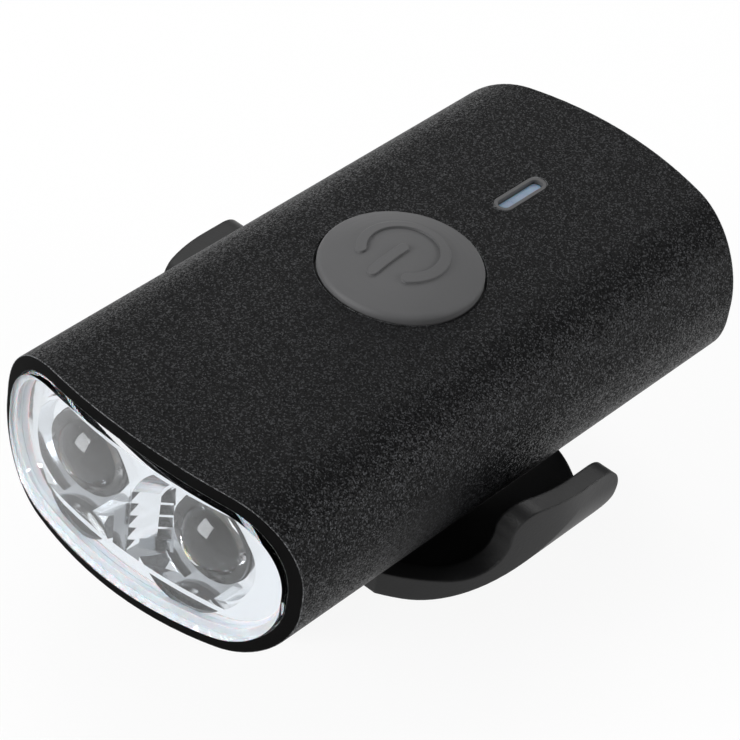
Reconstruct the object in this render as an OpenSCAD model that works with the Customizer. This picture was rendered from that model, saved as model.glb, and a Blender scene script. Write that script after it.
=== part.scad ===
// Handlebar headlight with twin optics, an extruded oval housing and a band-on bar saddle.
// Millimetres. +Z is up, the beam leaves along -Y, and the origin is on the handlebar's axis.

/* [Housing] */
// Width of the housing across the flanks
body_w = 40; // [38:0.5:44]
// Length of the housing on its centre line
body_l = 75; // [73:0.5:90]
// Height of the crowned top above the lower corner centres
top_h = 11.1; // [10.9:0.1:13]
// Depth of the crowned underside below the lower corner centres
bottom_h = 9.7; // [9.5:0.1:12]
// Radius of the four rounded corners of the section
corner_r = 9; // [8.6:0.1:9.2]
// Height of the flat strip on each flank
flank_flat = 1.6; // [1:0.1:1.7]
// How far the middle of each end stands beyond its corners
end_bow = 3.9; // [3:0.1:4.4]
// Wall of the housing
wall = 1.5; // [1.2:0.1:1.8]

/* [Front lens] */
// Thickness of the clear front cover
lens_t = 2; // [1.6:0.1:2.2]
// How far the cover stands proud of the housing rim
lens_proud = 0.6; // [0.4:0.1:1]
// Width of the seal behind the cover's edge
seal_w = 1; // [0.8:0.1:1.4]
// Thickness of that seal
seal_t = 0.6; // [0.4:0.1:0.8]

/* [Optics] */
// Distance of each optic from the centre line
optic_x = 8.1; // [7.8:0.1:8.4]
// Diameter of each collimator at its front
optic_d = 13; // [12:0.1:13.4]
// Diameter of each collimator at its back
optic_back_d = 7.2; // [6.8:0.1:8]
// Thickness of the plate that joins the two collimators
optic_plate_t = 1.4; // [1.2:0.1:1.8]
// Length of each collimator behind that plate
optic_l = 5.5; // [5:0.1:6.5]
// Diameter of the bulging lens in each collimator
dome_d = 7.4; // [7:0.1:8]
// Height of that bulge
dome_h = 2; // [1.6:0.1:2.2]
// Diameter of the raised seat of that lens
rim_d = 9.4; // [9:0.1:9.8]
// Diameter of the cavity over each light source
cavity_d = 5.6; // [5.4:0.1:6]
// Depth of that cavity
cavity_l = 3; // [2.6:0.1:3.6]
// Diameter of the well around each lens in the reflector
well_d = 12.4; // [12:0.1:12.6]
// Diameter of each reflector bowl at its back
bowl_d = 13; // [12.8:0.1:13.4]
// Diameter of each bowl at its widest
bowl_wide_d = 17.6; // [17:0.1:18]
// Height of the bowls' upper ledge above their axis
bowl_up = 5.9; // [5.4:0.1:6.1]
// Drop of the bowls' lower ledge below their axis
bowl_down = 5.9; // [5.4:0.1:6.1]
// Number of ribs on the inner side of each bowl
rib_count = 5; // [3:1:5]
// Spacing of the ribs
rib_pitch = 1.6; // [1.2:0.1:1.7]

/* [Light sources] */
// Thickness of the metal-core board
led_board_t = 1.5; // [1:0.1:2]
// Size of each light source's square base
led_w = 3.5; // [3:0.1:3.6]
// Height of that base
led_base_h = 0.7; // [0.5:0.1:1]
// Diameter of the clear dome on each light source
led_dome_d = 2.8; // [2:0.1:3]
// Thickness of the aluminium heat sink
sink_t = 4; // [3.6:0.1:5]

/* [Button] */
// Diameter of the power button
button_d = 17.2; // [15:0.1:18]
// Place of the button along the housing
button_y = 1.3; // [-3:0.1:3]
// Height of the button's crown above the housing
button_proud = 2.5; // [2.2:0.1:2.8]
// Travel of the button
button_travel = 0.5; // [0.2:0.05:0.6]
// Height of the raised symbol on the button
symbol_h = 0.25; // [0.1:0.05:0.4]
// Radius of the symbol's open ring, to the middle of its line
symbol_r = 4.3; // [3.6:0.1:4.6]
// Width of the symbol's lines
symbol_w = 1.15; // [0.8:0.05:1.4]

/* [Indicator] */
// Length of the indicator window
window_l = 6.6; // [5:0.1:7.6]
// Width of the indicator window
window_w = 1.4; // [1:0.1:2]
// Width of the soft collar around the window
collar_w = 0.5; // [0.4:0.05:0.8]
// Depth of the window below the housing's top
window_sink = 0.5; // [0.2:0.05:0.8]
// Place of the window along the housing
window_y = 20.3; // [19.5:0.1:22]

/* [Inside] */
// Thickness of the main board
board_t = 1.2; // [0.8:0.1:1.6]
// Width of the main board
board_w = 30; // [26:0.5:31]
// Height of the switch's body
switch_h = 2.5; // [2.2:0.1:3]
// Width of the switch's body
switch_w = 6; // [5:0.1:7]
// Diameter of the switch's plunger
plunger_d = 3.4; // [2.5:0.1:4]
// Height of the plunger above the switch's body
plunger_h = 1; // [0.9:0.1:1.3]
// Thickness of the tray's deck
deck_t = 1.1; // [0.8:0.1:1.4]
// Thickness of the battery
battery_t = 7; // [6:0.1:7.3]
// Width of the battery
battery_w = 28; // [24:0.5:29]
// Room for the battery's leads behind it
lead_room = 1; // [0.6:0.1:6]
// Thickness of the nut plate
nut_plate_t = 1.4; // [1.2:0.1:1.6]

/* [Rear end] */
// Thickness of the rear cap
rear_t = 2.4; // [2.2:0.1:2.8]
// How far the rear cap is sunk behind the housing rim
rear_sink = 0.2; // [0:0.1:0.4]
// Length of the rear cap from the housing's rim to the front of its skirt
rear_l = 7.3; // [7:0.1:8]
// Thickness of the rear cap's skirt
rear_skirt_t = 1.8; // [1.6:0.1:2.2]
// Width of the charging port's cover
cover_w = 13.6; // [12.4:0.1:14]
// Height of the cover above the middle of the port
cover_rise = 3.1; // [2.9:0.1:3.2]
// Drop of the cover's hinge axis below the middle of the port
cover_drop = 3.6; // [3.5:0.1:4]
// Thickness of the cover
cover_t = 1.3; // [1:0.1:1.4]
// Radius of the cover's round hinge roll
roll_r = 1.2; // [1.1:0.05:1.3]
// Diameter of the cover's hinge pins
pin_d = 1; // [0.8:0.05:1.2]
// Length of the cover's hinge pins
pin_l = 1.1; // [0.8:0.1:1.4]

/* [Charging socket] */
// Width of the socket's shell
socket_w = 8.94; // [8.6:0.02:9.2]
// Height of the socket's shell
socket_h = 3.26; // [3:0.02:3.4]
// Length of the socket's shell
socket_l = 7.3; // [6.5:0.1:8]
// Thickness of the socket's sheet metal
socket_wall = 0.3; // [0.2:0.05:0.4]

/* [Mount] */
// Diameter of the handlebar that the saddle fits
bar_d = 31.8; // [31:0.1:33]
// Angle of the bar that the saddle covers
saddle_turn = 146; // [144:1:150]
// Width of the saddle along the bar
saddle_w = 15; // [13:0.5:18]
// Thickness of the rubber pad on the saddle
pad_t = 1.2; // [1:0.1:1.6]
// Least thickness of the base between the housing and the pad
base_floor = 3.2; // [3.1:0.1:4]
// Front edge of the base
base_front = -16.2; // [-17:0.1:-15.5]
// Rear edge of the base
base_rear = 13.6; // [13.2:0.1:15]
// Width of the base under the housing
base_w = 31; // [28:0.5:32]
// Distance of the band hooks' outer faces from the centre line
ear_x = 26.5; // [26:0.1:27.5]
// Thickness of the band hooks
ear_t = 2.1; // [1.8:0.1:2.5]
// Level of the hooks' underside, below the lower corner centres
ear_low = 11.9; // [11.5:0.1:12.2]
// Level of the hooks' tops, below the lower corner centres
ear_top = 1; // [0.6:0.1:1.6]
// Radius of the bend from the hooks' floor to their lips
ear_bend = 8.4; // [7.8:0.1:8.8]
// Rear tip of the hooks' lips
ear_tip = 7.6; // [6.6:0.1:9]
// Diameter of the base's screws
base_screw_d = 3; // [2.5:0.1:3]
// Spacing of the base's screws
base_screw_gap = 12; // [11:0.5:14]

/* [Fits] */
// Gap around parts that slide into the housing
slide_gap = 0.15; // [0.1:0.01:0.25]
// Gap between moving parts
run_gap = 0.3; // [0.25:0.01:0.4]
// Gap under parts that are seated on curved faces
seat_gap = 0.08; // [0.05:0.01:0.12]
// Radial gap of pins in their bores
pin_gap = 0.05; // [0.03:0.01:0.08]

/* [Hidden] */
$fn = 96;

// Section of the housing: four corner arcs joined by two crown arcs that are tangent to them
corner_x = body_w / 2 - corner_r;
function crown_r(rise) = (pow(corner_x, 2) + pow(rise, 2) - pow(corner_r, 2)) / (2 * (rise - corner_r));
top_r = crown_r(top_h - flank_flat);
bottom_r = crown_r(bottom_h);
function roof(x, inset) = top_h - top_r + sqrt(pow(top_r - inset, 2) - pow(x, 2));
function ground(x, inset) = bottom_r - bottom_h - sqrt(pow(bottom_r - inset, 2) - pow(x, 2));
reach = 2 * (body_w + body_l);

// Bowed ends
front_y = -body_l / 2;
rear_y = body_l / 2;
bow_r = (pow(body_w / 2, 2) + pow(end_bow, 2)) / (2 * end_bow);
function bow_back(x, inset) = bow_r - sqrt(pow(bow_r - inset, 2) - pow(x, 2));

// Height of the housing above the bar
bar_r = bar_d / 2;
saddle_r = bar_r + pad_t;
body_z = bottom_h + seat_gap + base_floor + saddle_r;

// Optics, from front to back
optic_lift = 0.5;
optic_z = (top_h - bottom_h) / 2 + optic_lift;
cover_inset = wall + slide_gap;
lens_back_y = front_y + bow_back(body_w / 2 - cover_inset, lens_t - lens_proud) + slide_gap;
optic_y = lens_back_y + seal_t;
optic_plate_y = optic_y + optic_plate_t;
optic_back_y = optic_plate_y + optic_l;
led_board_y = optic_back_y + run_gap;
sink_y = led_board_y + led_board_t;
sink_back_y = sink_y + sink_t;
dome_r = (pow(dome_d / 2, 2) + pow(dome_h, 2)) / (2 * dome_h);
rim_h = optic_y - dome_h - front_y - bow_back(optic_x, lens_t - lens_proud) - run_gap;
mirror_sink = lens_t - lens_proud + seal_t;
well_l = 1.8;
well_floor = 0.5;
bowl_l = 2.4;
bowl_ahead = (pow(bowl_wide_d / 2, 2) + pow(bowl_l, 2) - pow(bowl_d / 2, 2)) / (2 * bowl_l);
bowl_r = sqrt(pow(bowl_d / 2, 2) + pow(bowl_ahead, 2));
bowl_y = optic_y - well_l - bowl_ahead;
ridge_y = bowl_y + sqrt(pow(bowl_r, 2) - pow(optic_x, 2));
ledge_low = optic_z - bowl_down;
ledge_top = optic_z + bowl_up;
rib_lean = 45;
rib_l = 3.6;
rib_h = 0.7;
rib_land = 0.3;
rib_sink = 0.9;
rib_back = 2;
pocket_l = 8;
pocket_h = 1.7;
pocket_r = (pow(pocket_l / 2, 2) + pow(pocket_h, 2)) / (2 * pocket_h);
pocket_x = optic_x - 1;
pocket_top = ledge_low - 0.6;
groove_l = 8.4;
groove_w = 0.9;
groove_z = roof(groove_l / 2, cover_inset) - 1.2;
recess_l = 1;

// Screws of the light-source board, and the sockets in all the screws
led_screw_d = 2;
led_head_d = 3.6;
led_head_h = 1.2;
led_screw_l = 3.2;
socket_share = 0.5;
socket_sink = 0.6;
led_screw_rise = 4.4;
sink_rim = 3;
sink_web = 2.2;

// Stack from the button down to the floor
button_edge_r = 0.7;
button_dome_r = 20;
button_hollow_r = 6.8;
button_hollow_h = 2.8;
flange_w = 0.9;
flange_t = 0.8;
stem_l = 0.85;
stem_d = 5;
flange_r = button_d / 2 + flange_w;
flange_top = roof(flange_r, wall) - run_gap;
flange_low = flange_top - flange_t;
button_top = top_h + button_proud;
button_lean = asin((button_d / 2 - button_edge_r) / (button_dome_r - button_edge_r));
symbol_gap_turn = 46;
symbol_reach = 6.6;
bar_mark_l = 5.7;
bar_mark_y = -2.35;
lip_top = flange_low - button_travel - run_gap;
lip_t = 0.6;
lip_w = 1.5;
button_seal_w = 1.2;
button_seal_r = flange_r + run_gap + button_seal_w;
plunger_top = flange_low - stem_l;
plunger_seat = 0.9;
switch_top = plunger_top - plunger_h;
board_top = switch_top - switch_h;
deck_top = board_top - board_t;
deck_low = deck_top - deck_t;
battery_top = deck_low - slide_gap;
battery_low = battery_top - battery_t;
battery_round = 2.5;
nut_plate_w = 8;
nut_plate_l = base_screw_gap + 8;
nut_plate_low = ground(nut_plate_w / 2, wall) + seat_gap;
nut_plate_top = nut_plate_low + nut_plate_t;

// Indicator
collar_flange = 1;
collar_flange_t = 0.8;
collar_low = roof(window_w / 2 + collar_w + collar_flange, wall) - seat_gap - collar_flange_t;
pipe_flange_t = 0.8;
status_led_size = [1.2, 2.4, 0.8];

// Parts on the main board
coil_d = 5.6;
coil_h = 2.4;
chip = [5, 4, 1.2];
plug = [5.5, 3.4, 2.4];
parts_inset = 4.5;
parts_ahead = 13;

// Inside, along the housing
rear_skirt_y = rear_y - rear_l;
rear_seal_w = 1.2;
rear_seal_depth = 0.8;
rear_seal_y = rear_skirt_y + 1;
tray_front = sink_back_y + slide_gap;
tray_rear = rear_skirt_y - slide_gap;
tray_wall_t = 2;
rail_t = 1.5;
rail_h = 5.5;
rear_screw_x = 12;
rear_screw_z = -2.2;
rear_screw_d = 2;
rear_head_d = 3.8;
rear_head_h = 1.3;
rear_boss_d = 5.4;
rear_screw_bite = 5;
rear_boss_l = rear_screw_bite + 1;
battery_y = tray_front + tray_wall_t + slide_gap;
battery_l = tray_rear - rear_boss_l - lead_room - battery_y;
battery_pad_w = 18;
battery_pad_l = battery_l - 6;
board_front = tray_front + tray_wall_t;
board_chamfer = 2;
rear_head_y = rear_y - bow_back(rear_screw_x, rear_sink) - rear_head_h - run_gap;

// Charging port and its cover
port_z = board_top + socket_h / 2;
plate_y = rear_y - rear_sink - rear_t;
socket_y = plate_y - run_gap - socket_l;
board_rear = rear_y - bow_back(board_w / 2 - board_chamfer, rear_sink + rear_t) - run_gap;
socket_round = 1.4;
tongue_size = [6.7, 4.6, 0.7];
cover_in = rear_sink + cover_t;
hinge_y = rear_y - bow_back(cover_w / 2, rear_sink) - roll_r;
hinge_z = port_z - cover_drop;
cover_top = port_z + cover_rise;
cover_round = 1.6;
swing_room = rear_y - rear_sink - hinge_y + run_gap;
hinge_wall = 0.4;
hinge_room = roll_r + run_gap + hinge_wall;
hinge_boss_w = cover_w + 2 * (run_gap + pin_l + 2 * hinge_wall);
port_clear = 0.4;
plug_w = 8.4;
plug_h = 2.4;
plug_l = 0.6;

// Base and band hooks
lip_in = ear_x - ear_t;
ear_front_r = 20.1;
ear_front_c = [ear_x - ear_front_r, base_front + 17.8];
ear_rear_r = 13.1;
ear_rear_c = [ear_x - 15.4, base_rear - ear_rear_r];
front_wall_z = 2.9 - ear_low;
sweep_y = base_front + 9.3;
sweep_top_r = 3;
sweep_z = -ear_top - sweep_top_r;
sweep_low_r = sweep_z - front_wall_z;
finger_low = 4.3 - ear_low;
tip_top_r = 3;
tip_low_r = 2.2;
saddle_low = bar_r * cos(saddle_turn / 2) - body_z;
leg_t = 1.6;
leg_corner_r = 4.2;
shoulder = 5;
leg_y = sqrt(pow(saddle_r + seat_gap, 2) - pow(bar_r * cos(saddle_turn / 2), 2)) + leg_t;
base_head_d = 5.4;
base_head_h = 1.7;
base_head_low = -bottom_h - seat_gap - base_floor;

// Points of an arc, for outlines that are extruded or revolved
function arc(c, r, from, to, steps) = [
    for (i = [0:steps])
        let (turn = from + (to - from) * i / steps)
        c + r * [cos(turn), sin(turn)]
];

// Corner points of a rectangle with round corners
function round_box(w, h, r) = [
    for (q = [0:3])
        let (c = [(q == 0 || q == 3 ? 1 : -1) * (w / 2 - r), (q < 2 ? 1 : -1) * (h / 2 - r)])
        each arc(c, r, 90 * q, 90 * q + 90, 8)
];

// Slot along Y with round ends
module slot(l, w) {
    for (end = [-1, 1])
        translate([0, end * (l - w) / 2]) circle(d = w);
    square([w, l - w], center = true);
}

// Region under one crown arc, cut on the rays through its tangent points
module crown(r, apex, inset) {
    half = asin(corner_x / (r - corner_r));
    far = 2 * r;
    intersection() {
        translate([0, apex - r]) circle(r - inset, $fn = 720);
        polygon([
            [0, apex - r],
            [far * sin(half), apex - r + far * cos(half)],
            [-far * sin(half), apex - r + far * cos(half)]
        ]);
        translate([-body_w, 0]) square([2 * body_w, 2 * body_w]);
    }
}

// Section of the housing, drawn inwards by inset
module section(inset) {
    for (side = [-1, 1], z = [0, flank_flat])
        translate([side * corner_x, z]) circle(corner_r - inset);
    translate([inset - body_w / 2, 0]) square([body_w - 2 * inset, flank_flat]);
    crown(top_r, top_h, inset);
    mirror([0, 1]) crown(bottom_r, bottom_h, inset);
}

// A flat outline in X and Z, extruded along Y
module extrude_y(from, to) {
    translate([0, to, 0]) rotate([90, 0, 0]) linear_extrude(to - from) children();
}

// A flat outline in Y and Z, extruded along X
module extrude_x(from, to) {
    translate([from, 0, 0]) rotate([90, 0, 90]) linear_extrude(to - from) children();
}

// The section extruded along the housing
module prism(inset, from, to) {
    extrude_y(from, to) section(inset);
}

// A band of the section between two insets
module section_ring(outer, inner, from, to) {
    difference() {
        prism(outer, from, to);
        prism(inner, from - 1, to + 1);
    }
}

// Upright cylinder whose side is a bowed end face, drawn inwards by inset
module end_cut(end, inset) {
    translate([0, end * (body_l / 2 - bow_r), -reach / 2])
        cylinder(r = bow_r - inset, h = reach, $fn = 720);
}

// Puts a shape drawn about the housing's own level into the shared frame
module on_body() {
    translate([0, 0, body_z]) children();
}

// Turns a shape drawn along +Z so that it runs along +Y
module along_y(at) {
    translate(at) rotate([-90, 0, 0]) children();
}

// A box given by its lowest and highest corners
module block(low, high) {
    translate(low) cube(high - low);
}

module at_each_optic() {
    for (side = [-1, 1])
        translate([side * optic_x, 0, optic_z]) children();
}

module housing() {
    color("#17181a") on_body() difference() {
        intersection() {
            prism(0, front_y, rear_y);
            end_cut(-1, 0);
            end_cut(1, 0);
        }
        prism(wall, front_y - 1, rear_y + 1);
        translate([0, button_y, 0]) cylinder(d = button_d + 2 * run_gap, h = 2 * top_h);
        translate([0, window_y, 0]) linear_extrude(2 * top_h)
            slot(window_l + 2 * collar_w, window_w + 2 * collar_w);
        for (end = [-1, 1])
            translate([0, end * base_screw_gap / 2, -2 * bottom_h])
                cylinder(d = base_screw_d + 2 * run_gap, h = 2 * bottom_h);
    }
}

module front_lens() {
    color("#dfe9ee", 0.4) on_body() difference() {
        intersection() {
            prism(cover_inset, front_y - end_bow, lens_back_y);
            end_cut(-1, -lens_proud);
        }
        end_cut(-1, lens_t - lens_proud);
    }
}

module lens_seal() {
    color("#e6e6e2") on_body() difference() {
        intersection() {
            section_ring(wall + seat_gap, cover_inset + seal_w, front_y, optic_y);
            end_cut(-1, lens_t - lens_proud);
        }
        end_cut(-1, mirror_sink);
    }
}

// A paraboloid that widens from the back, at the end of its axis, to the front
module collimator(grow) {
    back_r = optic_back_d / 2 + grow;
    front_r = optic_d / 2 + grow;
    steps = 12;
    taper = pow(front_r, 2) - pow(back_r, 2);
    rotate_extrude() polygon(concat(
        [[0, optic_l], [0, 0]],
        [for (i = [0:steps]) [sqrt(pow(front_r, 2) - taper * i / steps), optic_l * i / steps]]
    ));
}

// Bulging lens on the front of a collimator
module dome() {
    intersection() {
        translate([0, optic_y - rim_h - dome_h + dome_r, 0]) sphere(dome_r);
        along_y([0, optic_y - rim_h - dome_h, 0]) cylinder(d = dome_d, h = dome_h + rim_h / 2);
    }
}

// Places an outline, in depth and height, on the inner side of the right bowl
module on_ridge(start) {
    translate([0, ridge_y + rib_sink, ledge_low]) rotate(rib_lean) extrude_x(start, rib_l) children();
}

// Ribs on that side: sloping faces with a narrow land below each
module bowl_ribs() {
    on_ridge(-rib_h) polygon(concat(
        [[rib_back, rib_count * rib_pitch], [rib_back, 0]],
        [for (i = [0:rib_count - 1]) each [[-rib_h, i * rib_pitch], [-rib_h, i * rib_pitch + rib_land],
            [0, (i + 1) * rib_pitch]]]
    ));
}

// Wells around the two lenses that open into round bowls, cut off flat above and below
module bowls() {
    intersection() {
        union() {
            at_each_optic() {
                along_y([0, optic_y - bowl_l, 0]) cylinder(d = well_d, h = bowl_l);
                intersection() {
                    translate([0, bowl_y, 0]) sphere(bowl_r);
                    along_y([0, optic_y - well_l - reach, 0]) cylinder(r = bowl_r, h = reach);
                }
            }
            for (side = [0, 1])
                mirror([side, 0, 0]) on_ridge(-rib_back) translate([-rib_back, 0])
                    square([rib_back, rib_count * rib_pitch]);
        }
        block([-body_w, front_y - end_bow, ledge_low], [body_w, optic_y - well_floor, ledge_top]);
    }
}

// Half-moon pocket below the right bowl
module pocket() {
    intersection() {
        translate([pocket_x, pocket_top - pocket_h + pocket_r]) circle(pocket_r);
        translate([0, pocket_top - pocket_h]) square([body_w, pocket_h]);
    }
}

module reflector() {
    color("#d3d6da") on_body() difference() {
        intersection() {
            prism(cover_inset, front_y, optic_y);
            end_cut(-1, mirror_sink);
        }
        difference() {
            bowls();
            for (side = [0, 1])
                mirror([side, 0, 0]) bowl_ribs();
        }
        at_each_optic() along_y([0, optic_y - bowl_l, 0]) cylinder(d = rim_d + 2 * slide_gap, h = 2 * bowl_l);
        difference() {
            extrude_y(front_y, optic_y) {
                for (side = [0, 1])
                    mirror([side, 0]) pocket();
                translate([0, groove_z]) rotate(90) slot(groove_l, groove_w);
            }
            end_cut(-1, mirror_sink + recess_l);
        }
    }
}

module twin_optic() {
    color("#cfdde6", 0.6) on_body() difference() {
        union() {
            prism(cover_inset, optic_y, optic_plate_y);
            at_each_optic() along_y([0, optic_plate_y, 0]) collimator(0);
            at_each_optic() along_y([0, optic_y - rim_h, 0])
                cylinder(d = rim_d, h = rim_h + optic_plate_t / 2);
            at_each_optic() dome();
        }
        at_each_optic() along_y([0, optic_back_y - cavity_l, 0]) cylinder(d = cavity_d, h = 2 * cavity_l);
    }
}

module led_screw_places() {
    for (side = [-1, 1])
        translate([0, 0, optic_z + side * led_screw_rise]) children();
}

module optic_carrier() {
    color("#2a2b2d") on_body() difference() {
        prism(cover_inset, optic_plate_y + seat_gap, led_board_y);
        at_each_optic() along_y([0, optic_plate_y, 0]) collimator(slide_gap);
        at_each_optic() along_y([0, optic_plate_y, 0])
            cylinder(d = optic_back_d + 2 * slide_gap, h = 2 * optic_l);
        led_screw_places() along_y([0, led_board_y - led_head_h - run_gap, 0])
            cylinder(d = led_head_d + 2 * run_gap, h = led_head_h + 1);
    }
}

module led_board() {
    color("#1c1d1f") on_body() difference() {
        prism(cover_inset + run_gap, led_board_y, sink_y);
        led_screw_places() along_y([0, led_board_y - 1, 0])
            cylinder(d = led_screw_d + 2 * pin_gap, h = led_board_t + 2);
    }
}

module leds() {
    color("#f1d24a") on_body() at_each_optic() {
        block([-led_w / 2, led_board_y - led_base_h, -led_w / 2], [led_w / 2, led_board_y, led_w / 2]);
        intersection() {
            translate([0, led_board_y - led_base_h, 0]) sphere(d = led_dome_d);
            block([-led_w, led_board_y - led_base_h - led_dome_d, -led_w],
                [led_w, led_board_y - led_base_h / 2, led_w]);
        }
    }
}

// Screw along +Z with a hexagon socket: its head ends at the origin, and its shank runs on above
module socket_screw(d, l, head_d, head_h) {
    cylinder(d = d, h = l);
    difference() {
        translate([0, 0, -head_h]) cylinder(d = head_d, h = head_h);
        translate([0, 0, -head_h - 1]) linear_extrude(socket_sink * head_h + 1)
            circle(d = socket_share * head_d, $fn = 6);
    }
}

module led_board_screws() {
    color("#b9bcc0") on_body() led_screw_places()
        translate([0, led_board_y, 0])
            rotate([-90, 0, 0]) socket_screw(led_screw_d, led_board_t + led_screw_l, led_head_d, led_head_h);
}

module heat_sink() {
    color("#a8acb0") on_body() difference() {
        prism(wall + slide_gap, sink_y, sink_back_y);
        difference() {
            prism(wall + slide_gap + sink_rim, sink_y + sink_web, sink_back_y + 1);
            led_screw_places() along_y([0, sink_y, 0]) cylinder(d = led_head_d + 1, h = sink_t);
        }
        led_screw_places() along_y([0, sink_y - 1, 0])
            cylinder(d = led_screw_d + 2 * pin_gap, h = led_screw_l + 1 + run_gap);
    }
}

module rear_screw_places() {
    for (side = [-1, 1])
        translate([side * rear_screw_x, 0, rear_screw_z]) children();
}

module tray() {
    color("#3a3d40") on_body() difference() {
        intersection() {
            prism(wall + slide_gap, tray_front, tray_rear);
            union() {
                block([-body_w, tray_front, deck_low], [body_w, tray_rear, deck_top]);
                for (side = [0, 1])
                    mirror([side, 0, 0])
                        block([battery_w / 2 + slide_gap, tray_front, deck_low - rail_h],
                            [battery_w / 2 + slide_gap + rail_t, tray_rear, deck_top]);
                block([-body_w, tray_front, battery_low], [body_w, tray_front + tray_wall_t, deck_top]);
                block([-body_w, tray_rear - tray_wall_t, battery_low], [body_w, tray_rear, deck_top]);
                rear_screw_places() along_y([0, tray_rear - rear_boss_l, 0])
                    cylinder(d = rear_boss_d, h = rear_boss_l);
            }
        }
        rear_screw_places() along_y([0, tray_rear - rear_screw_bite - run_gap, 0])
            cylinder(d = rear_screw_d + 2 * pin_gap, h = rear_boss_l);
    }
}

module battery() {
    color("#5b6f8c") on_body() translate([0, 0, (battery_top + battery_low) / 2])
        extrude_y(battery_y, battery_y + battery_l) polygon(round_box(battery_w, battery_t, battery_round));
}

module battery_pad() {
    color("#2e2e30") on_body()
        block([-battery_pad_w / 2, battery_y + (battery_l - battery_pad_l) / 2, nut_plate_top],
            [battery_pad_w / 2, battery_y + (battery_l + battery_pad_l) / 2, battery_low]);
}

module base_screw_places() {
    for (end = [-1, 1])
        translate([0, end * base_screw_gap / 2, 0]) children();
}

module nut_plate() {
    color("#9a9ea3") on_body() difference() {
        block([-nut_plate_w / 2, -nut_plate_l / 2, nut_plate_low],
            [nut_plate_w / 2, nut_plate_l / 2, nut_plate_top]);
        base_screw_places() translate([0, 0, nut_plate_low - 1])
            cylinder(d = base_screw_d + 2 * pin_gap, h = nut_plate_t + 2);
    }
}

module main_board() {
    color("#1f5b3a") on_body() translate([0, 0, deck_top]) linear_extrude(board_t)
        polygon([
            [-board_w / 2 + board_chamfer, board_front], [board_w / 2 - board_chamfer, board_front],
            [board_w / 2, board_front + board_chamfer], [board_w / 2, board_rear - board_chamfer],
            [board_w / 2 - board_chamfer, board_rear], [-board_w / 2 + board_chamfer, board_rear],
            [-board_w / 2, board_rear - board_chamfer], [-board_w / 2, board_front + board_chamfer]
        ]);
}

// Coil, driver chip and the two lead connectors
module board_parts() {
    parts_x = board_w / 2 - parts_inset;
    parts_y = button_y - parts_ahead;
    color("#2c2e33") on_body() translate([0, 0, board_top]) {
        translate([parts_x, parts_y, 0]) cylinder(d = coil_d, h = coil_h);
        translate([-parts_x - chip.x / 2, parts_y - chip.y / 2, 0]) cube(chip);
        translate([parts_x - plug.x / 2, window_y, 0]) cube(plug);
        translate([-parts_x - plug.x / 2, window_y, 0]) cube(plug);
    }
}

module switch_body() {
    color("#3b3b3d") on_body() translate([0, button_y, 0]) difference() {
        block([-switch_w / 2, -switch_w / 2, board_top], [switch_w / 2, switch_w / 2, switch_top]);
        translate([0, 0, switch_top - plunger_seat - button_travel - run_gap])
            cylinder(d = plunger_d + 2 * pin_gap, h = switch_h);
    }
}

module switch_plunger() {
    color("#8f2f2a") on_body() translate([0, button_y, switch_top - plunger_seat])
        cylinder(d = plunger_d, h = plunger_h + plunger_seat);
}

module status_led() {
    color("#e9edf2") on_body() translate([0, window_y, board_top])
        translate([-status_led_size.x / 2, -status_led_size.y / 2, 0]) cube(status_led_size);
}

module indicator_window() {
    color("#9fb0c4", 0.8) on_body() translate([0, window_y, 0]) {
        pipe_low = board_top + status_led_size.z + run_gap;
        translate([0, 0, pipe_low]) linear_extrude(top_h - window_sink - pipe_low)
            slot(window_l - 2 * seat_gap, window_w - 2 * seat_gap);
        translate([0, 0, collar_low - pipe_flange_t]) linear_extrude(pipe_flange_t)
            slot(window_l + 2 * collar_w, window_w + 2 * collar_w);
    }
}

module indicator_collar() {
    outer = collar_w - seat_gap;
    color("#4a4b4c") on_body() translate([0, window_y, 0]) difference() {
        union() {
            translate([0, 0, collar_low]) linear_extrude(top_h - collar_low)
                slot(window_l + 2 * outer, window_w + 2 * outer);
            translate([0, 0, collar_low]) linear_extrude(collar_flange_t)
                slot(window_l + 2 * (collar_w + collar_flange), window_w + 2 * (collar_w + collar_flange));
        }
        translate([0, 0, collar_low - 1]) linear_extrude(top_h) slot(window_l, window_w);
    }
}

// Outline of the button's dome, raised by lift, from lean degrees off its axis to its apex
function dome_points(lift, lean) =
    arc([0, button_top - button_dome_r], button_dome_r + lift, 90 - lean, 90, 10);

// Outline of the power symbol: an open ring with round ends and a bar in its gap
module power_mark() {
    far = 2 * button_d;
    difference() {
        circle(symbol_r + symbol_w / 2);
        circle(symbol_r - symbol_w / 2);
        polygon([
            [0, 0],
            far * [-sin(symbol_gap_turn), -cos(symbol_gap_turn)],
            far * [sin(symbol_gap_turn), -cos(symbol_gap_turn)]
        ]);
    }
    for (side = [-1, 1])
        translate(symbol_r * [side * sin(symbol_gap_turn), -cos(symbol_gap_turn)]) circle(d = symbol_w);
    translate([0, bar_mark_y]) slot(bar_mark_l, symbol_w);
}

module power_button() {
    edge_r = button_d / 2 - button_edge_r;
    edge_z = button_top - button_dome_r + edge_r / tan(button_lean);
    stem_low = plunger_top + seat_gap / 2;
    color("#58595a") on_body() translate([0, button_y, 0]) {
        rotate_extrude() polygon(concat(
            [[0, stem_low], [stem_d / 2, stem_low], [stem_d / 2, flange_low + button_hollow_h],
                [button_hollow_r, flange_low + button_hollow_h], [button_hollow_r, flange_low],
                [flange_r, flange_low], [flange_r, flange_top], [button_d / 2, flange_top]],
            arc([edge_r, edge_z], button_edge_r, 0, 84 - button_lean, 6),
            dome_points(0, button_lean)
        ));
        intersection() {
            rotate_extrude() polygon(concat([[0, edge_z], [symbol_reach, edge_z]],
                dome_points(symbol_h, asin(symbol_reach / (button_dome_r + symbol_h)))));
            translate([0, 0, edge_z]) linear_extrude(2 * top_h) power_mark();
        }
    }
}

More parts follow.
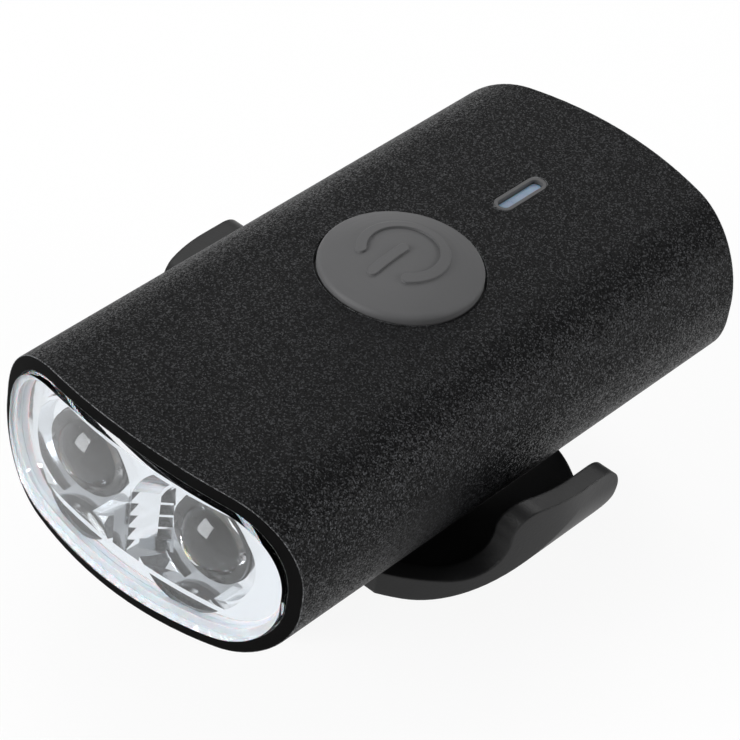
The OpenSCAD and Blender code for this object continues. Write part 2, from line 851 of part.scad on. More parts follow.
module button_seal() {
    groove_r = flange_r + run_gap;
    high = roof(button_seal_r, wall) - seat_gap;
    color("#4a4b4c") on_body() translate([0, button_y, 0]) rotate_extrude() polygon([
        [flange_r - lip_w, lip_top - lip_t], [button_seal_r, lip_top - lip_t], [button_seal_r, high],
        [groove_r, high], [groove_r, lip_top], [flange_r - lip_w, lip_top]
    ]);
}

module usb_socket() {
    color("#b4b7bb") on_body() translate([0, 0, port_z]) difference() {
        extrude_y(socket_y, socket_y + socket_l) polygon(round_box(socket_w, socket_h, socket_round));
        extrude_y(socket_y + 2 * socket_wall, socket_y + socket_l + 1)
            polygon(round_box(socket_w - 2 * socket_wall, socket_h - 2 * socket_wall,
                socket_round - socket_wall));
    }
}

module usb_tongue() {
    color("#1d1e20") on_body()
        translate([-tongue_size.x / 2, socket_y + 2 * socket_wall, port_z - tongue_size.z / 2])
            cube(tongue_size);
}

// Outline of the cover's panel, in X and Z, grown by gap
module cover_outline(gap) {
    low = hinge_z;
    high = cover_top + gap;
    w = cover_w + 2 * gap;
    translate([-w / 2, low]) square([w, high - low - cover_round]);
    translate([-w / 2 + cover_round, low]) square([w - 2 * cover_round, high - low]);
    for (side = [-1, 1])
        translate([side * (w / 2 - cover_round), high - cover_round]) circle(cover_round);
}

module rear_cap() {
    color("#1b1c1e") on_body() difference() {
        intersection() {
            union() {
                difference() {
                    prism(cover_inset, rear_skirt_y, rear_y);
                    intersection() {
                        prism(cover_inset + rear_skirt_t, rear_skirt_y - 1, rear_y);
                        end_cut(1, rear_sink + rear_t);
                    }
                }
                rear_screw_places() along_y([0, rear_skirt_y, 0])
                    cylinder(d = rear_boss_d, h = end_bow + rear_t);
                block([-hinge_boss_w / 2, hinge_y - hinge_room, hinge_z - swing_room - hinge_wall],
                    [hinge_boss_w / 2, rear_y, hinge_z + hinge_room]);
            }
            end_cut(1, rear_sink);
        }
        section_ring(0, cover_inset + rear_seal_depth, rear_seal_y, rear_seal_y + rear_seal_w);
        difference() {
            extrude_y(plate_y - end_bow, rear_y + 1) {
                cover_outline(run_gap);
                translate([-cover_w / 2 - run_gap, hinge_z - swing_room])
                    square([cover_w + 2 * run_gap, swing_room + cover_drop]);
            }
            end_cut(1, cover_in + seat_gap);
        }
        block([-cover_w / 2 - run_gap, hinge_y - run_gap, hinge_z - swing_room],
            [cover_w / 2 + run_gap, rear_y + 1, hinge_z]);
        extrude_x(-cover_w / 2 - run_gap, cover_w / 2 + run_gap)
            translate([hinge_y, hinge_z]) circle(roll_r + run_gap);
        extrude_x(-cover_w / 2 - run_gap - pin_l, cover_w / 2 + run_gap + pin_l)
            translate([hinge_y, hinge_z]) circle(d = pin_d + 2 * pin_gap);
        translate([0, 0, port_z]) extrude_y(rear_skirt_y, rear_y)
            polygon(round_box(socket_w + 2 * port_clear, socket_h + 2 * port_clear, socket_round));
        rear_screw_places() along_y([0, rear_skirt_y - 1, 0])
            cylinder(d = rear_screw_d + 2 * pin_gap, h = rear_y);
        rear_screw_places() along_y([0, rear_head_y, 0])
            cylinder(d = rear_head_d + 2 * slide_gap, h = rear_y);
    }
}

module rear_seal() {
    color("#2b2b2b") on_body()
        section_ring(wall + seat_gap / 2, cover_inset + rear_seal_depth - seat_gap / 2,
            rear_seal_y + seat_gap, rear_seal_y + rear_seal_w - seat_gap);
}

module rear_screws() {
    color("#8d9095") on_body() rear_screw_places() translate([0, rear_head_y, 0]) mirror([0, 1, 0])
        rotate([-90, 0, 0]) socket_screw(rear_screw_d, rear_head_y - tray_rear + rear_screw_bite,
            rear_head_d, rear_head_h);
}

module port_cover() {
    color("#242527") on_body() {
        difference() {
            intersection() {
                extrude_y(plate_y - end_bow, rear_y + 1) cover_outline(0);
                end_cut(1, rear_sink);
            }
            end_cut(1, cover_in);
        }
        extrude_x(-cover_w / 2, cover_w / 2) translate([hinge_y, hinge_z]) circle(roll_r);
        extrude_x(-cover_w / 2 - pin_l, cover_w / 2 + pin_l)
            translate([hinge_y, hinge_z]) circle(d = pin_d);
        translate([0, 0, port_z]) extrude_y(rear_y - cover_in - plug_l, rear_y - cover_in + cover_t / 2)
            polygon(round_box(plug_w, plug_h, plug_h / 2 - 0.1));
    }
}

// Rectangle from X = 0 whose lower outer corner is round
module bent_corner(x, low, high, r) {
    square_h = high - low;
    translate([0, low]) square([x - r, square_h]);
    translate([0, low + r]) square([x, square_h - r]);
    intersection() {
        translate([x - r, low + r]) circle(r);
        translate([0, low]) square([x, square_h]);
    }
}

// Side view of a hook: a low front wall that sweeps up into the lip
module hook_side() {
    back = base_rear + 1;
    low = -ear_low - 1;
    translate([base_front - 1, low]) square([back - base_front + 1, front_wall_z - low]);
    translate([sweep_y, low]) square([back - sweep_y, sweep_z - low]);
    translate([sweep_y + sweep_top_r, low]) square([back - sweep_y - sweep_top_r, -ear_top - low]);
    translate([sweep_y + sweep_top_r, sweep_z]) circle(sweep_top_r);
    difference() {
        translate([sweep_y - sweep_low_r, front_wall_z]) square(sweep_low_r);
        translate([sweep_y - sweep_low_r, sweep_z]) circle(sweep_low_r);
    }
}

// Side view of the free finger at the rear of a hook's lip
module finger_side() {
    high = -ear_top;
    translate([0, finger_low]) square([ear_tip - tip_top_r, high - finger_low]);
    translate([0, finger_low + tip_low_r]) square([ear_tip, high - tip_top_r - finger_low - tip_low_r]);
    translate([0, finger_low]) square([ear_tip - tip_low_r, tip_low_r]);
    translate([ear_tip - tip_low_r, finger_low + tip_low_r]) circle(tip_low_r);
    translate([ear_tip - tip_top_r, high - tip_top_r]) circle(tip_top_r);
}

// Upright solid behind the base's front arc, drawn inwards by inset
module front_trim(inset) {
    translate([ear_front_c.x, ear_front_c.y, -reach / 2]) cylinder(r = ear_front_r - inset, h = reach);
    block([0, ear_front_c.y, -reach / 2], [reach, reach, reach / 2]);
}

// Upright solid ahead of the base's rear arc
module rear_trim() {
    translate([ear_rear_c.x, ear_rear_c.y, -reach / 2]) cylinder(r = ear_rear_r, h = reach);
    block([0, -reach, -reach / 2], [reach, ear_rear_c.y, reach / 2]);
    block([0, -reach, -reach / 2], [ear_rear_c.x, base_rear, reach / 2]);
}

// Bent wall of a hook, with a floor inside it
module hook_shell() {
    difference() {
        intersection() {
            extrude_y(base_front, base_rear) bent_corner(ear_x, -ear_low, 0, ear_bend);
            extrude_x(0, ear_x) hook_side();
            front_trim(0);
        }
        intersection() {
            extrude_y(base_front, base_rear + 1) translate([-1, 0])
                bent_corner(lip_in + 1, ear_t - ear_low, 1, ear_bend - ear_t);
            front_trim(ear_t);
        }
    }
}

// Half of the base beside the housing's centre line, with its band hook
module half_base() {
    intersection() {
        union() {
            hook_shell();
            intersection() {
                block([0, base_front, -ear_low], [base_w / 2, base_rear, 0]);
                front_trim(0);
            }
        }
        rear_trim();
    }
    intersection() {
        hook_shell();
        extrude_x(lip_in, ear_x) finger_side();
    }
}

// Upright slab whose lower corners are round, seen from the front of the saddle
module saddle_slab(high) {
    extrude_y(-leg_y, leg_y)
        for (side = [0, 1])
            mirror([side, 0]) bent_corner(saddle_w / 2, saddle_low, high, leg_corner_r);
}

// Legs of the saddle, with sloping shoulders under the base
module saddle_legs() {
    top = -ear_low + 1;
    intersection() {
        saddle_slab(top);
        extrude_x(-saddle_w, saddle_w) polygon([
            [-leg_y, saddle_low], [leg_y, saddle_low], [leg_y, -ear_low - shoulder],
            [leg_y - shoulder, -ear_low], [leg_y - shoulder, top], [shoulder - leg_y, top],
            [shoulder - leg_y, -ear_low], [-leg_y, -ear_low - shoulder]
        ]);
    }
}

module mount_base() {
    color("#202123") on_body() difference() {
        union() {
            saddle_legs();
            for (side = [0, 1])
                mirror([side, 0, 0]) half_base();
        }
        prism(-seat_gap, front_y, rear_y);
        translate([0, 0, -body_z]) extrude_x(-base_w, base_w) circle(saddle_r + seat_gap);
        base_screw_places() {
            translate([0, 0, base_head_low - body_z])
                cylinder(d = base_head_d + 2 * slide_gap, h = body_z + base_head_h);
            translate([0, 0, -body_z]) cylinder(d = base_screw_d + 2 * slide_gap, h = body_z);
        }
    }
}

module base_screws() {
    color("#8d9095") on_body() base_screw_places()
        translate([0, 0, base_head_low + base_head_h])
            socket_screw(base_screw_d, nut_plate_top - base_head_low - base_head_h, base_head_d, base_head_h);
}

module bar_pad() {
    color("#161617") on_body() difference() {
        intersection() {
            translate([0, 0, -body_z]) extrude_x(-saddle_w / 2, saddle_w / 2) circle(saddle_r);
            saddle_slab(0);
        }
        translate([0, 0, -body_z]) extrude_x(-saddle_w, saddle_w) circle(bar_r);
    }
}

housing();
front_lens();
lens_seal();
reflector();
twin_optic();
optic_carrier();
led_board();
leds();
led_board_screws();
heat_sink();
tray();
battery();
battery_pad();
nut_plate();
main_board();
board_parts();
switch_body();
switch_plunger();
status_led();
indicator_window();
indicator_collar();
power_button();
button_seal();
usb_socket();
usb_tongue();
rear_cap();
rear_seal();
rear_screws();
port_cover();
mount_base();
base_screws();
bar_pad();
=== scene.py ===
import math

import bpy
from mathutils import Matrix, Vector


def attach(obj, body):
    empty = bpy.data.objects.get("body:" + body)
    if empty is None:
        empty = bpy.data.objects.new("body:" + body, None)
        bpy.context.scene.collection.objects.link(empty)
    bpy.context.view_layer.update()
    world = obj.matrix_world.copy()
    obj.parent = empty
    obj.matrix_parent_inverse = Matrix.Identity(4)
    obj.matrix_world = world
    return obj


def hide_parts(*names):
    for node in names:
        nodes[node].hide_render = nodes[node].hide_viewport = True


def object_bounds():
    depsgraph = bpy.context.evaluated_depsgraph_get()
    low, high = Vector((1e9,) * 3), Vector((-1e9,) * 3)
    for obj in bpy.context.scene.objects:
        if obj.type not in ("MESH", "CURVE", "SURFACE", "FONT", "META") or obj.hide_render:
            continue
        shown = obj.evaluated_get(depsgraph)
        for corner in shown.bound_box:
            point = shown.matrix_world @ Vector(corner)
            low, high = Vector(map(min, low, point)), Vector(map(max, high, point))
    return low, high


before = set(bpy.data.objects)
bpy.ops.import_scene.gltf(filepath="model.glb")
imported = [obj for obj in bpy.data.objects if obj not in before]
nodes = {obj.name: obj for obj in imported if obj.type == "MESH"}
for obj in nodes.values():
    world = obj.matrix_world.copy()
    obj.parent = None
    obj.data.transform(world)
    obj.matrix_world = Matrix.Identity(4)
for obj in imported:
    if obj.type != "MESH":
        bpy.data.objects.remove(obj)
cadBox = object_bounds()
scene = bpy.context.scene
scene.view_settings.view_transform = "Standard"
bpy.ops.object.select_all(action="DESELECT")
mm = 0.001  # metres
print("frame loaded:", len(nodes), "nodes")


def linear(hexColour):
    parts = [int(hexColour[i:i + 2], 16) / 255 for i in (1, 3, 5)]
    return [c / 12.92 if c <= 0.04045 else ((c + 0.055) / 1.055) ** 2.4 for c in parts] + [1.0]


def perMetre(sizeMm):  # texture scale for a pattern that repeats every sizeMm
    return 1 / (sizeMm * mm)


# adds a node, sets its inputs and properties, and links its inputs
def addNode(tree, kind, settings={}, links={}):
    node = tree.nodes.new("ShaderNode" + kind)
    for key, value in settings.items():
        if isinstance(key, int) or key in node.inputs:
            node.inputs[key].default_value = value
        else:
            setattr(node, key, value)
    feed(tree, node, links)
    return node


def feed(tree, node, links):
    for key, source in links.items():
        tree.links.new(source, node.inputs[key])


def newMaterial(name, surface):
    material = bpy.data.materials.new(name)
    material.use_nodes = True
    tree = material.node_tree
    tree.nodes.clear()
    shader = addNode(tree, "BsdfPrincipled", surface)
    output = addNode(tree, "OutputMaterial", {}, {"Surface": shader.outputs[0]})
    return material, tree, shader, output


def dress(material, *names):
    for name in names:
        nodes[name].data.materials.clear()
        nodes[name].data.materials.append(material)


# a moulded or worked surface: patches shift its colour and gloss, a fine grain roughens it, edges are eased
workedSet = {
    "patchDetail": 4.0,
    "patchRange": (0.3, 0.7),
    "grainDetail": 2.0,
    "grainDepth": 0.2,  # of the grain's width
    "edgeSamples": 6,
}


def workedSurface(name, finish):
    material, tree, shader, output = newMaterial(name, finish["surface"])
    coords = addNode(tree, "TexCoord").outputs["Object"]
    place = addNode(tree, "Mapping", {"Scale": finish.get("stretch", (1, 1, 1))}, {"Vector": coords})
    patch = addNode(tree, "TexNoise", {
        "Scale": perMetre(finish["patchMm"]), "Detail": workedSet["patchDetail"]}, {"Vector": coords})
    grain = addNode(tree, "TexNoise", {
        "Scale": perMetre(finish["grainMm"]), "Detail": workedSet["grainDetail"]}, {"Vector": place.outputs[0]})
    colour = addNode(tree, "Mix", {
        "data_type": "RGBA", 6: linear(finish["colour"]), 7: linear(finish["patchColour"])},
        {0: patch.outputs["Fac"]})
    rough = addNode(tree, "MapRange", {
        "From Min": workedSet["patchRange"][0], "From Max": workedSet["patchRange"][1],
        "To Min": finish["rough"][0], "To Max": finish["rough"][1]}, {"Value": patch.outputs["Fac"]})
    eased = addNode(tree, "Bevel", {"samples": workedSet["edgeSamples"], "Radius": finish["edgeMm"] * mm})
    bump = addNode(tree, "Bump", {
        "Strength": finish["bump"], "Distance": finish["grainMm"] * workedSet["grainDepth"] * mm},
        {"Height": grain.outputs["Fac"], "Normal": eased.outputs[0]})
    feed(tree, shader, {
        "Base Color": colour.outputs[2], "Roughness": rough.outputs[0], "Normal": bump.outputs[0]})
    return material


# camera, fitted to the photo's viewing angle
cameraSet = {
    "turn": 35.96,  # degrees round the light from straight ahead
    "rise": 40.15,
    "roll": 8.96,
    "distance": 0.37019,
    "aim": (0.00001, -0.00121, 0.02892),
    "lens": 175.28,
    "sensor": 36,
    "near": 0.01,
}
turn, rise, roll = (math.radians(cameraSet[k]) for k in ("turn", "rise", "roll"))
sideways = Vector((math.cos(turn), math.sin(turn), 0))
backwards = Vector((math.sin(turn) * math.cos(rise), -math.cos(turn) * math.cos(rise), math.sin(rise)))
upwards = backwards.cross(sideways)
cameraData = bpy.data.cameras.new("camera")
cameraData.lens = cameraSet["lens"]
cameraData.sensor_width = cameraSet["sensor"]
cameraData.clip_start = cameraSet["near"]
camera = bpy.data.objects.new("camera", cameraData)
scene.collection.objects.link(camera)
xAxis = math.cos(roll) * sideways + math.sin(roll) * upwards
yAxis = math.cos(roll) * upwards - math.sin(roll) * sideways
cameraPlace = Vector(cameraSet["aim"]) + cameraSet["distance"] * backwards
cameraTurn = Matrix((xAxis, yAxis, backwards)).transposed().to_4x4()
camera.matrix_world = Matrix.Translation(cameraPlace) @ cameraTurn
scene.camera = camera
print("camera placed")

# pale paper floor: white to the eye and in reflections, shaded enough to keep the shadow
floorSet = {"size": 6.0, "colour": "#eeeeee", "rough": 0.9, "white": 0.9}
bpy.ops.mesh.primitive_plane_add(size=floorSet["size"], location=(0, 0, cadBox[0].z))
floor = bpy.context.object
floor.name = "floor"
floorPaint, tree, shader, output = newMaterial("paperFloor", {
    "Base Color": linear(floorSet["colour"]), "Roughness": floorSet["rough"]})
rays = addNode(tree, "LightPath").outputs
seen = addNode(tree, "Math", {"operation": "MAXIMUM"}, {0: rays["Is Camera Ray"], 1: rays["Is Glossy Ray"]})
seen = addNode(tree, "Math", {"operation": "MAXIMUM"}, {0: seen.outputs[0], 1: rays["Is Transmission Ray"]})
share = addNode(tree, "Math", {"operation": "MULTIPLY", 1: floorSet["white"]}, {0: seen.outputs[0]})
glow = addNode(tree, "Emission", {"Strength": 1.0})
mixed = addNode(tree, "MixShader", {}, {0: share.outputs[0], 1: shader.outputs[0], 2: glow.outputs[0]})
feed(tree, output, {"Surface": mixed.outputs[0]})
floor.data.materials.append(floorPaint)

# soft room: white behind the object, dim towards the ceiling
worldSet = {"horizon": 0.97, "ceiling": 0.45, "low": 0.1, "high": 0.7, "ambient": 0.5}
world = bpy.data.worlds.new("studio")
world.use_nodes = True
scene.world = world
tree = world.node_tree
tree.nodes.clear()
coords = addNode(tree, "TexCoord")
split = addNode(tree, "SeparateXYZ", {}, {0: coords.outputs["Generated"]})
level = addNode(tree, "MapRange", {
    "interpolation_type": "SMOOTHSTEP", "From Min": worldSet["low"], "From Max": worldSet["high"],
    "To Min": worldSet["horizon"], "To Max": worldSet["ceiling"]}, {"Value": split.outputs["Z"]})
rays = addNode(tree, "LightPath").outputs
room = addNode(tree, "Background", {}, {"Strength": level.outputs[0]})
ambient = addNode(tree, "Background", {"Strength": worldSet["ambient"]})
white = addNode(tree, "Background", {"Strength": 1.0})
seen = addNode(tree, "Math", {"operation": "MAXIMUM"}, {0: rays["Is Glossy Ray"], 1: rays["Is Transmission Ray"]})
mixed = addNode(tree, "MixShader", {}, {0: seen.outputs[0], 1: ambient.outputs[0], 2: room.outputs[0]})
mixed = addNode(tree, "MixShader", {}, {0: rays["Is Camera Ray"], 1: mixed.outputs[0], 2: white.outputs[0]})
addNode(tree, "OutputWorld", {}, {"Surface": mixed.outputs[0]})

# three soft boxes
lampAim = Vector((0, 0, 0.03))
lampSet = {
    "lampOver": {"at": (-0.25, 0.30, 0.70), "size": 0.5, "watts": 2.4},
    "lampRight": {"at": (0.55, 0.42, 0.26), "size": 0.25, "watts": 2.2},
    "lampFront": {"at": (-0.25, -0.65, 0.25), "size": 0.42, "watts": 6.0},
}
for name, lamp in lampSet.items():
    data = bpy.data.lights.new(name, "AREA")
    data.energy = lamp["watts"]
    data.size = lamp["size"]
    light = bpy.data.objects.new(name, data)
    scene.collection.objects.link(light)
    light.location = lamp["at"]
    light.rotation_euler = (lampAim - Vector(lamp["at"])).to_track_quat("-Z", "Y").to_euler()
print("stage lit")

# anodised aluminium, extruded, bead-blasted and dyed black: each blast pit leans its own way,
# so the skin sparkles where the light rakes it; the milled ends are plain black, with a painted highlight along
# their edges
housingSet = {
    "surface": {"IOR": 1.5, "Specular IOR Level": 0.08},
    "colour": "#060607",
    "pitColour": "#0b0c0d",
    "pitRange": (0.55, 1.0),
    "pitMm": 0.14,  # about twice the real pits, so that they show
    "lean": 0.6,
    "glintColour": "#4a4b4d",
    "glintRange": (0.7, 1.05),
    "cloudMm": 14.0,
    "cloudDetail": 3.0,
    "rough": (0.38, 0.48),
    "endColour": "#030303",
    "endRange": (0.7, 0.85),
    "endRough": 0.9,
    "edgeMm": 0.2,
    "edgeSamples": 6,
    # painted highlight colour along the milled end edge
    "edgeColour": "#a0a2a4",
    "edgeBand": (0.35, 0.85),  # how far the eased end edge faces along the light, where its highlight is painted
}
housingMetal, tree, shader, output = newMaterial("anodisedAluminium", housingSet["surface"])
coords = addNode(tree, "TexCoord").outputs
pits = addNode(tree, "TexVoronoi", {"Scale": perMetre(housingSet["pitMm"])}, {"Vector": coords["Object"]})
pitValue = addNode(tree, "SeparateColor", {}, {0: pits.outputs["Color"]})
bright = addNode(tree, "MapRange", {
    "From Min": housingSet["pitRange"][0], "From Max": housingSet["pitRange"][1]}, {"Value": pitValue.outputs[0]})
glint = addNode(tree, "MapRange", {
    "From Min": housingSet["glintRange"][0], "From Max": housingSet["glintRange"][1]},
    {"Value": pitValue.outputs[1]})
cloud = addNode(tree, "TexNoise", {
    "Scale": perMetre(housingSet["cloudMm"]), "Detail": housingSet["cloudDetail"]}, {"Vector": coords["Object"]})
facing = addNode(tree, "SeparateXYZ", {}, {0: coords["Normal"]})
endwise = addNode(tree, "Math", {"operation": "ABSOLUTE"}, {0: facing.outputs["Y"]})
endFace = addNode(tree, "MapRange", {
    "From Min": housingSet["endRange"][0], "From Max": housingSet["endRange"][1]}, {"Value": endwise.outputs[0]})
skin = addNode(tree, "MapRange", {"To Min": 1.0, "To Max": 0.0}, {"Value": endFace.outputs[0]})
glint = addNode(tree, "Math", {"operation": "MULTIPLY"}, {0: glint.outputs[0], 1: skin.outputs[0]})
# each pit's normal leans by its own random colour
centred = addNode(tree, "VectorMath", {"operation": "SUBTRACT", 1: (0.5, 0.5, 0.5)}, {0: pits.outputs["Color"]})
lean = addNode(tree, "Math", {"operation": "MULTIPLY", 1: housingSet["lean"]}, {0: skin.outputs[0]})
leaning = addNode(tree, "VectorMath", {"operation": "SCALE"}, {0: centred.outputs[0], "Scale": lean.outputs[0]})
eased = addNode(tree, "Bevel", {"samples": housingSet["edgeSamples"], "Radius": housingSet["edgeMm"] * mm})
leant = addNode(tree, "VectorMath", {"operation": "ADD"}, {0: eased.outputs[0], 1: leaning.outputs[0]})
leant = addNode(tree, "VectorMath", {"operation": "NORMALIZE"}, {0: leant.outputs[0]})
# painted highlight on the milled end edge, where the eased normal lies between flank and end
easedSplit = addNode(tree, "SeparateXYZ", {}, {0: eased.outputs[0]})
easedEnd = addNode(tree, "Math", {"operation": "ABSOLUTE"}, {0: easedSplit.outputs["Y"]})
edge = addNode(tree, "Math", {"operation": "GREATER_THAN", 1: housingSet["edgeBand"][0]}, {0: easedEnd.outputs[0]})
inBand = addNode(tree, "Math", {"operation": "LESS_THAN", 1: housingSet["edgeBand"][1]}, {0: easedEnd.outputs[0]})
edge = addNode(tree, "Math", {"operation": "MULTIPLY"}, {0: edge.outputs[0], 1: inBand.outputs[0]})
edge = addNode(tree, "Math", {"operation": "MULTIPLY"}, {0: edge.outputs[0], 1: pitValue.outputs[2]})
colour = addNode(tree, "Mix", {
    "data_type": "RGBA", 6: linear(housingSet["colour"]), 7: linear(housingSet["pitColour"])},
    {0: bright.outputs[0]})
# the last mix paints a highlight onto the milled end edge
for key, mask in (("glintColour", glint), ("endColour", endFace), ("edgeColour", edge)):
    colour = addNode(tree, "Mix", {"data_type": "RGBA", 7: linear(housingSet[key])},
        {0: mask.outputs[0], 6: colour.outputs[2]})
rough = addNode(tree, "MapRange", {
    "To Min": housingSet["rough"][0], "To Max": housingSet["rough"][1]}, {"Value": cloud.outputs["Fac"]})
rough = addNode(tree, "Mix", {3: housingSet["endRough"]}, {0: endFace.outputs[0], 2: rough.outputs[0]})
feed(tree, shader, {
    "Base Color": colour.outputs[2], "Metallic": glint.outputs[0],
    "Roughness": rough.outputs[0], "Normal": leant.outputs[0]})
dress(housingMetal, "housing")

# acrylic, injection moulded in polished tools: clear, faintly wavy, letting lamps through;
# hard-coated, so it mirrors little
clearSet = {
    "coverAcrylic": {"on": "front_lens", "colour": "#fbfdff", "gloss": 0.02, "waveMm": 6.0},
    "opticAcrylic": {"on": "twin_optic", "colour": "#ffffff", "gloss": 0.05, "waveMm": 2.5},
}
waveSet = {"ior": 1.49, "rough": 0.01, "detail": 1.0, "strength": 0.05, "depthMm": 0.3}
for name, clear in clearSet.items():
    material, tree, shader, output = newMaterial(name, {
        "Base Color": linear(clear["colour"]), "IOR": waveSet["ior"], "Transmission Weight": 1.0,
        "Specular IOR Level": clear["gloss"], "Roughness": waveSet["rough"]})
    coords = addNode(tree, "TexCoord").outputs["Object"]
    wave = addNode(tree, "TexNoise", {
        "Scale": perMetre(clear["waveMm"]), "Detail": waveSet["detail"]}, {"Vector": coords})
    bump = addNode(tree, "Bump", {
        "Strength": waveSet["strength"], "Distance": waveSet["depthMm"] * mm}, {"Height": wave.outputs["Fac"]})
    feed(tree, shader, {"Normal": bump.outputs[0]})
    rays = addNode(tree, "LightPath")
    through = addNode(tree, "BsdfTransparent")
    mixed = addNode(tree, "MixShader", {}, {
        0: rays.outputs["Is Shadow Ray"], 1: shader.outputs[0], 2: through.outputs[0]})
    feed(tree, output, {"Surface": mixed.outputs[0]})
    dress(material, clear["on"])

# metallised ABS: a bright mirror with a slight orange peel; the up-facing rib faces and the recess floors
# are dull and rough, and painted dark as shade
reflectorSet = {
    "colour": "#f2f4f6",
    "metal": (1.0, 0.4),  # of the mirror and of the dull, shade-painted parts
    "rough": (0.1, 0.5),
    "peelMm": 1.2,
    "peelDetail": 2.0,
    "peelStrength": 0.15,
    "peelDepthMm": 0.1,
    # painted shade: the dark colour given to the up-facing rib faces and the recess floors, mottled by noise
    "paintedShadeColour": "#17191a",
    "paintedShadePaleColour": "#4a4d50",
    "shadeMottleMm": 0.25,
    "shadeMottleDetail": 3.0,
    "shadeMottleRange": (0.4, 0.75),
    "ribReachMm": 4.1,
    "ribSlope": (0.3, 0.62),  # how far a rib's face looks up; these faces are painted dark as shade
    "recessFromMm": 0.45,
    "pocketTopMm": 24.79,
    "grooveLowMm": 37.7,
    "grooveHalfMm": 4.4,
    "bowCentreMm": 15.73,  # of the bowed front face
    "bowRadiusMm": 51.23,
}
mirror, tree, shader, output = newMaterial("metallisedAbs", {})
coords = addNode(tree, "TexCoord").outputs
place = addNode(tree, "SeparateXYZ", {}, {0: coords["Object"]}).outputs
facing = addNode(tree, "SeparateXYZ", {}, {0: coords["Normal"]}).outputs
across = addNode(tree, "Math", {"operation": "ABSOLUTE"}, {0: place["X"]}).outputs[0]
fromAxis = addNode(tree, "VectorMath", {
    "operation": "SUBTRACT", 1: (0, reflectorSet["bowCentreMm"] * mm, 0)}, {0: coords["Object"]})
fromAxis = addNode(tree, "VectorMath", {"operation": "MULTIPLY", 1: (1, 1, 0)}, {0: fromAxis.outputs[0]})
fromAxis = addNode(tree, "VectorMath", {"operation": "LENGTH"}, {0: fromAxis.outputs[0]}).outputs["Value"]
# each mask compares one measure with one limit
sunkAt = (reflectorSet["bowRadiusMm"] - reflectorSet["recessFromMm"]) * mm
maskSet = {
    "nearRibs": ("LESS_THAN", reflectorSet["ribReachMm"] * mm, across),
    "sloping": ("GREATER_THAN", reflectorSet["ribSlope"][0], facing["Z"]),
    "notFlat": ("LESS_THAN", reflectorSet["ribSlope"][1], facing["Z"]),
    "sunk": ("LESS_THAN", sunkAt, fromAxis),
    "low": ("LESS_THAN", reflectorSet["pocketTopMm"] * mm, place["Z"]),
    "high": ("GREATER_THAN", reflectorSet["grooveLowMm"] * mm, place["Z"]),
    "inGroove": ("LESS_THAN", reflectorSet["grooveHalfMm"] * mm, across),
}
masks = {}
for name, (operation, limit, measure) in maskSet.items():
    masks[name] = addNode(tree, "Math", {"operation": operation, 1: limit}, {0: measure}).outputs[0]
# where the colour is painted dark as shade: the up-facing rib faces and the recess floors
onRib = addNode(tree, "Math", {"operation": "MULTIPLY"}, {0: masks["nearRibs"], 1: masks["sloping"]})
onRib = addNode(tree, "Math", {"operation": "MULTIPLY"}, {0: onRib.outputs[0], 1: masks["notFlat"]})
groove = addNode(tree, "Math", {"operation": "MULTIPLY"}, {0: masks["high"], 1: masks["inGroove"]})
recess = addNode(tree, "Math", {"operation": "MAXIMUM"}, {0: masks["low"], 1: groove.outputs[0]})
recess = addNode(tree, "Math", {"operation": "MULTIPLY"}, {0: recess.outputs[0], 1: masks["sunk"]})
etchedAndShaded = addNode(tree, "Math", {"operation": "MAXIMUM"}, {0: recess.outputs[0], 1: onRib.outputs[0]}).outputs[0]
shadeNoise = addNode(tree, "TexNoise", {
    "Scale": perMetre(reflectorSet["shadeMottleMm"]), "Detail": reflectorSet["shadeMottleDetail"]}, {"Vector": coords["Object"]})
shadeMottle = addNode(tree, "MapRange", {
    "From Min": reflectorSet["shadeMottleRange"][0], "From Max": reflectorSet["shadeMottleRange"][1]},
    {"Value": shadeNoise.outputs["Fac"]})
# painted shade colour, mottled
paintedShadeColour = addNode(tree, "Mix", {
    "data_type": "RGBA", 6: linear(reflectorSet["paintedShadeColour"]), 7: linear(reflectorSet["paintedShadePaleColour"])},
    {0: shadeMottle.outputs[0]})
colour = addNode(tree, "Mix", {
    "data_type": "RGBA", 6: linear(reflectorSet["colour"])}, {0: etchedAndShaded, 7: paintedShadeColour.outputs[2]})
metal = addNode(tree, "MapRange", {
    "To Min": reflectorSet["metal"][0], "To Max": reflectorSet["metal"][1]}, {"Value": etchedAndShaded})
rough = addNode(tree, "MapRange", {
    "To Min": reflectorSet["rough"][0], "To Max": reflectorSet["rough"][1]}, {"Value": etchedAndShaded})
peel = addNode(tree, "TexNoise", {
    "Scale": perMetre(reflectorSet["peelMm"]), "Detail": reflectorSet["peelDetail"]}, {"Vector": coords["Object"]})
bump = addNode(tree, "Bump", {
    "Strength": reflectorSet["peelStrength"], "Distance": reflectorSet["peelDepthMm"] * mm},
    {"Height": peel.outputs["Fac"]})
feed(tree, shader, {
    "Base Color": colour.outputs[2], "Metallic": metal.outputs[0],
    "Roughness": rough.outputs[0], "Normal": bump.outputs[0]})
dress(mirror, "reflector")
print("housing and optics dressed")

